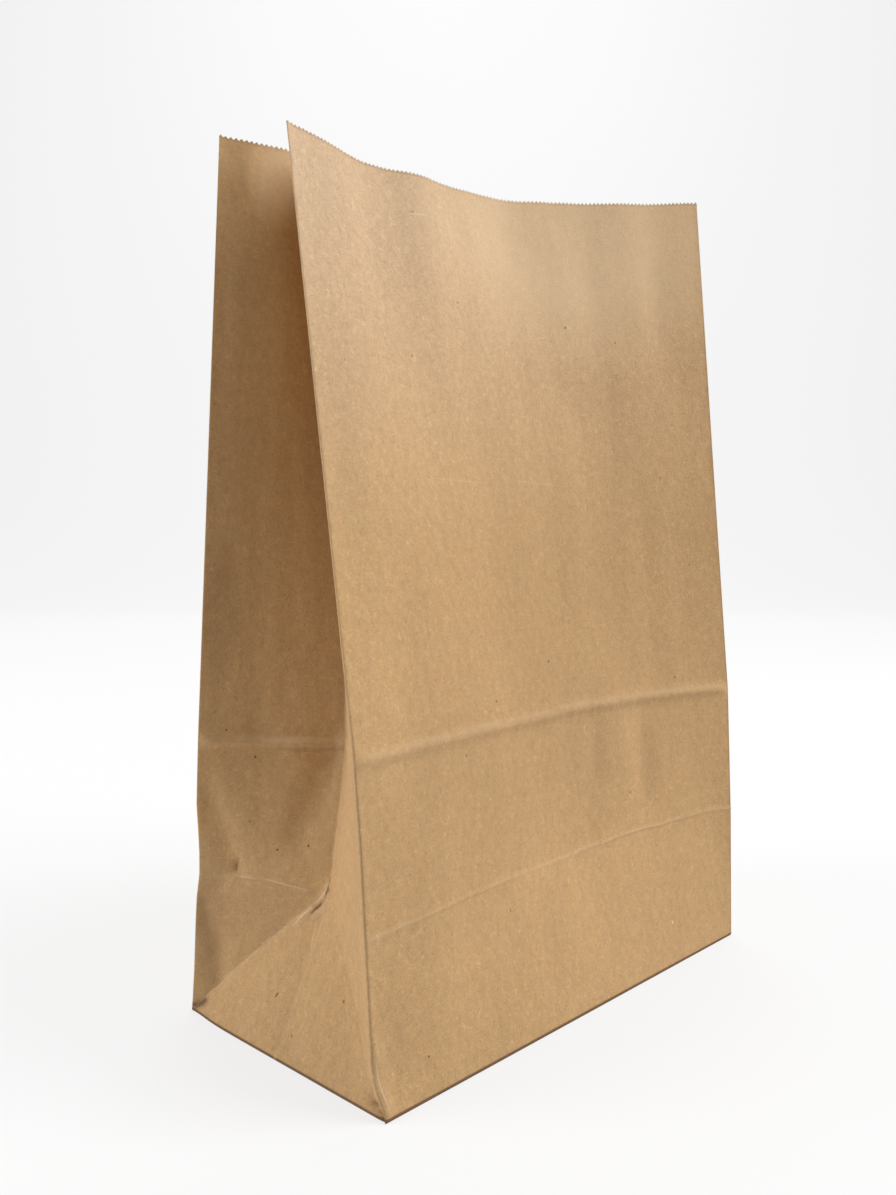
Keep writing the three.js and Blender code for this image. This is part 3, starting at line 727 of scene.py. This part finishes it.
    relief = calc(tree, "MULTIPLY_ADD", mottle, 0.8, felt)
    bump = node(tree, "ShaderNodeBump", {"Height": relief, "Distance": 0.000012, "Strength": 1.0})
    shader = node(tree, "ShaderNodeBsdfPrincipled", {
        "Base Color": colour, "Roughness": 0.85, "Specular IOR Level": 0.3,
        "Normal": bump.outputs[0],
    })
    node(tree, "ShaderNodeOutputMaterial", {"Surface": shader.outputs[0]})
    return material


def finished(sheet, **hand):
    """The sheet with its hand and its thickness, baked to a plain closed mesh."""
    shaping = sheet.modifiers.new("hand", "NODES")
    shaping.node_group = hand_of_paper
    for item in hand_of_paper.interface.items_tree:
        if item.in_out == "INPUT" and item.name in hand:
            shaping[item.identifier] = hand[item.name]
        elif item.name == "Paper":
            shaping[item.identifier] = kraft
    layer = sheet.modifiers.new("thickness", "SOLIDIFY")
    layer.thickness = PAPER / 1000
    layer.offset = 0
    layer.use_even_offset = True
    layer.thickness_clamp = 1
    bpy.context.view_layer.update()
    graph = bpy.context.evaluated_depsgraph_get()
    mesh = bpy.data.meshes.new_from_object(sheet.evaluated_get(graph), depsgraph=graph)
    sheet.modifiers.clear()
    sheet.data = mesh
    mesh.name = sheet.name
    for name in ("round", "height", "lift", "free", "supple", "tooth", "upward"):
        mesh.attributes.remove(mesh.attributes[name])
    mesh.set_sharp_from_angle(angle=math.radians(CREASE_ANGLE))
    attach(sheet, "root")


kraft = kraft_paper()
hand_of_paper = hand_tree()
walls = paper_object("bag_walls", points, faces, point_values, point_upward)
finished(walls)
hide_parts("paper_bag")


# ---- The base ----------------------------------------------------------------------------
# The same paper goes on under the walls: the ends of the side panels are turned in flat, and
# the flaps of the back and front panels, their corners folded at 45 degrees, are pasted over
# each other beneath them. The knife that cut the mouth has left its teeth on all four edges.

FLAP_DEPTH = 0.62 * GUSSET
HEM_GAP = 0.32                            # from the fold line to where a flap lies flat
EDGE_LIFT = 0.3                           # the tucks' cut edges have lifted a little


def flap(fold_start, fold_end, edge_start, edge_end, layers_down, edge_lift, patch):
    """A flat flap between its fold and its toothed cut edge, given by its four corners."""
    fold_start, fold_end, edge_start, edge_end = [
        np.array([*corner, -layers_down * PAPER]) for corner in
        (fold_start, fold_end, edge_start, edge_end)]
    long = np.linalg.norm(edge_end - edge_start)
    teeth = round(long / TOOTH_PITCH)
    across, deep = 2 * teeth, 18
    share = np.arange(across + 1) / across
    rows = []
    for step in range(deep + 1):
        down = step / deep
        start = fold_start + (edge_start - fold_start) * down
        end = fold_end + (edge_end - fold_end) * down
        row = start + np.outer(share, end - start)
        row[:, 2] += edge_lift * down**4 * np.sin(math.pi * share) ** 0.5
        rows.append(row)
    points = np.concatenate(rows)
    _, way, _, (moved, *_), reach = BOWS[1]
    beside = np.hypot(points[:, 0] + WIDTH / 2, points[:, 1] - GUSSET / 2)
    points[:, :2] += np.outer(moved * np.exp(-((beside / reach) ** 2)), way)
    cut = np.arange(len(points)) >= deep * (across + 1)
    toward = edge_start + edge_end - fold_start - fold_end
    corners = np.array([(row * (across + 1) + i, row * (across + 1) + i + 1)
                        for row in range(deep) for i in range(across)])
    faces = np.concatenate([corners, corners[:, ::-1] + across + 1], axis=1)
    local = points - fold_start
    values = {
        "round": local[:, 0] + patch, "height": local[:, 1] + 400,
        "lift": np.zeros(len(points)), "free": np.zeros(len(points)),
        "supple": np.full(len(points), 0.15),
        "wear_and_painted_light": np.zeros(len(points)),
        "painted_top_light": np.zeros(len(points)),
        "tooth": cut * (np.arange(len(points)) % (across + 1) % 2),
    }
    return points, faces, values, np.outer(cut, toward / np.linalg.norm(toward))


half_wide, half_deep = WIDTH / 2 - 0.4, GUSSET / 2 - 0.4
short = WIDTH / 2 - FLAP_DEPTH
FLAT_LEVEL = -2                           # in layers, where the flat paper lies under the folds
pieces = []
for end in (-1, 1):
    fold, edge = end * (WIDTH / 2 - HEM_GAP), end * (WIDTH / 2 - FLAP_DEPTH)
    pieces.append(flap((fold, -half_deep), (fold, half_deep), (edge, -half_deep), (edge, half_deep),
                       -FLAT_LEVEL, EDGE_LIFT, 100 + 100 * end))
for side, layers_down in ((1, 1), (-1, 2)):
    fold, edge = side * (GUSSET / 2 - HEM_GAP), side * (GUSSET / 2 - FLAP_DEPTH)
    pieces.append(flap((-half_wide, fold), (half_wide, fold), (-short, edge), (short, edge),
                       layers_down - FLAT_LEVEL, 0, 400 + 100 * side))
firsts = np.cumsum([0] + [len(piece[0]) for piece in pieces])
base = paper_object(
    "bag_base",
    np.concatenate([piece[0] for piece in pieces]),
    np.concatenate([piece[1] + first for piece, first in zip(pieces, firsts)]).tolist(),
    {key: np.concatenate([piece[2][key] for piece in pieces]) for key in point_values},
    np.concatenate([piece[3] for piece in pieces]),
)
finished(base)


# ---- The studio --------------------------------------------------------------------------
# A seamless sweep of dark grey card that glows, floor and wall in one: its glow gives nearly all its
# brightness, keeps the floor's shadows pale and lights the bag softly from all round. Soft boxes stand at
# the front right and behind on the left, and one for the wall. The camera stands a quarter of a metre from
# the bag's front left corner, at half its height, and looks almost level.

HEADING = math.radians(43.82)             # from +X towards +Y
PITCH = math.radians(-2.03)
CAMERA_PLACE = Vector((-0.2591, -0.2350, 0.1430))
LENS = 30.14                              # mm, on a 36 mm long side
FLOOR_BEHIND, FLOOR_AHEAD = -2.5, 2.2     # metres from the bag, along the camera's heading
SWEEP_RADIUS = 0.9
WALL_TOP = 3.2
SWEEP_WIDE = 3.5

ahead = np.array([math.cos(HEADING), math.sin(HEADING)])
aside = np.array([-ahead[1], ahead[0]])
bend = np.linspace(0, math.pi / 2, 25)
profile = [(FLOOR_BEHIND, 0)]
profile += [(FLOOR_AHEAD + SWEEP_RADIUS * math.sin(t), SWEEP_RADIUS * (1 - math.cos(t))) for t in bend]
profile.append((FLOOR_AHEAD + SWEEP_RADIUS, WALL_TOP))
corners = [(*(ahead * run + aside * side * SWEEP_WIDE), cad_low.z + up)
           for run, up in profile for side in (1, -1)]
strips = [(2 * i, 2 * i + 1, 2 * i + 3, 2 * i + 2) for i in range(len(profile) - 1)]
card_mesh = bpy.data.meshes.new("sweep")
card_mesh.from_pydata(corners, [], strips)
card_mesh.shade_smooth()
sweep = bpy.data.objects.new("sweep", card_mesh)
bpy.context.scene.collection.objects.link(sweep)
card = bpy.data.materials.new("glowing_grey_card")
card.use_nodes = True
card_shader = card.node_tree.nodes["Principled BSDF"]
# a dark grey card whose glow, not the lamps, makes it bright and keeps its shadows pale
card_shader.inputs["Base Color"].default_value = (0.12, 0.12, 0.12, 1)
card_shader.inputs["Emission Color"].default_value = (1, 1, 1, 1)
card_shader.inputs["Emission Strength"].default_value = 0.775
card_shader.inputs["Roughness"].default_value = 0.9
card_mesh.materials.append(card)

room = bpy.data.worlds.new("pale_room")
room.use_nodes = True
room.node_tree.nodes["Background"].inputs["Color"].default_value = (1, 1, 1, 1)
room.node_tree.nodes["Background"].inputs["Strength"].default_value = 0.02
bpy.context.scene.world = room


def soft_box(name, place, aim, size, power):
    """A square lamp with soft light, facing a point."""
    lamp = bpy.data.lights.new(name, "AREA")
    lamp.shape = "SQUARE"
    lamp.size = size
    lamp.energy = power
    made = bpy.data.objects.new(name, lamp)
    made.location = place
    made.rotation_euler = (Vector(aim) - Vector(place)).to_track_quat("-Z", "Y").to_euler()
    made.visible_camera = False
    bpy.context.scene.collection.objects.link(made)
    return made


BOX_REACH = 1.7                           # metres from the middle of the bag
BOX_SIZE = 0.9
BAG_MIDDLE = Vector((0, 0, 0.12))
BOXES = {                                 # degrees from +X towards +Y, degrees up, watts
    "front_right_box": (-55, 30, 17),
    "front_high_box": (-55, 60, 20),
    "left_back_box": (150, 30, 19.5),
    "left_low_box": (128, 12, 5.5),
}
for name, (azimuth, rise, power) in BOXES.items():
    turn, up = math.radians(azimuth), math.radians(rise)
    way = Vector((math.cos(turn) * math.cos(up), math.sin(turn) * math.cos(up), math.sin(up)))
    soft_box(name, BAG_MIDDLE + way * BOX_REACH, BAG_MIDDLE, BOX_SIZE, power)
wall_foot = Vector((*(ahead * (FLOOR_AHEAD + SWEEP_RADIUS)), SWEEP_RADIUS))
soft_box("wall_box", Vector((*(ahead * 1.3), 2.6)), wall_foot, 1.5, 55)

lens = bpy.data.cameras.new("camera")
lens.lens = LENS
lens.sensor_width = 36
camera = bpy.data.objects.new("camera", lens)
camera.location = CAMERA_PLACE
facing = Vector((*(ahead * math.cos(PITCH)), math.sin(PITCH)))
camera.rotation_euler = facing.to_track_quat("-Z", "Y").to_euler()
bpy.context.scene.collection.objects.link(camera)
bpy.context.scene.camera = camera
bpy.context.scene.view_settings.view_transform = "Standard"
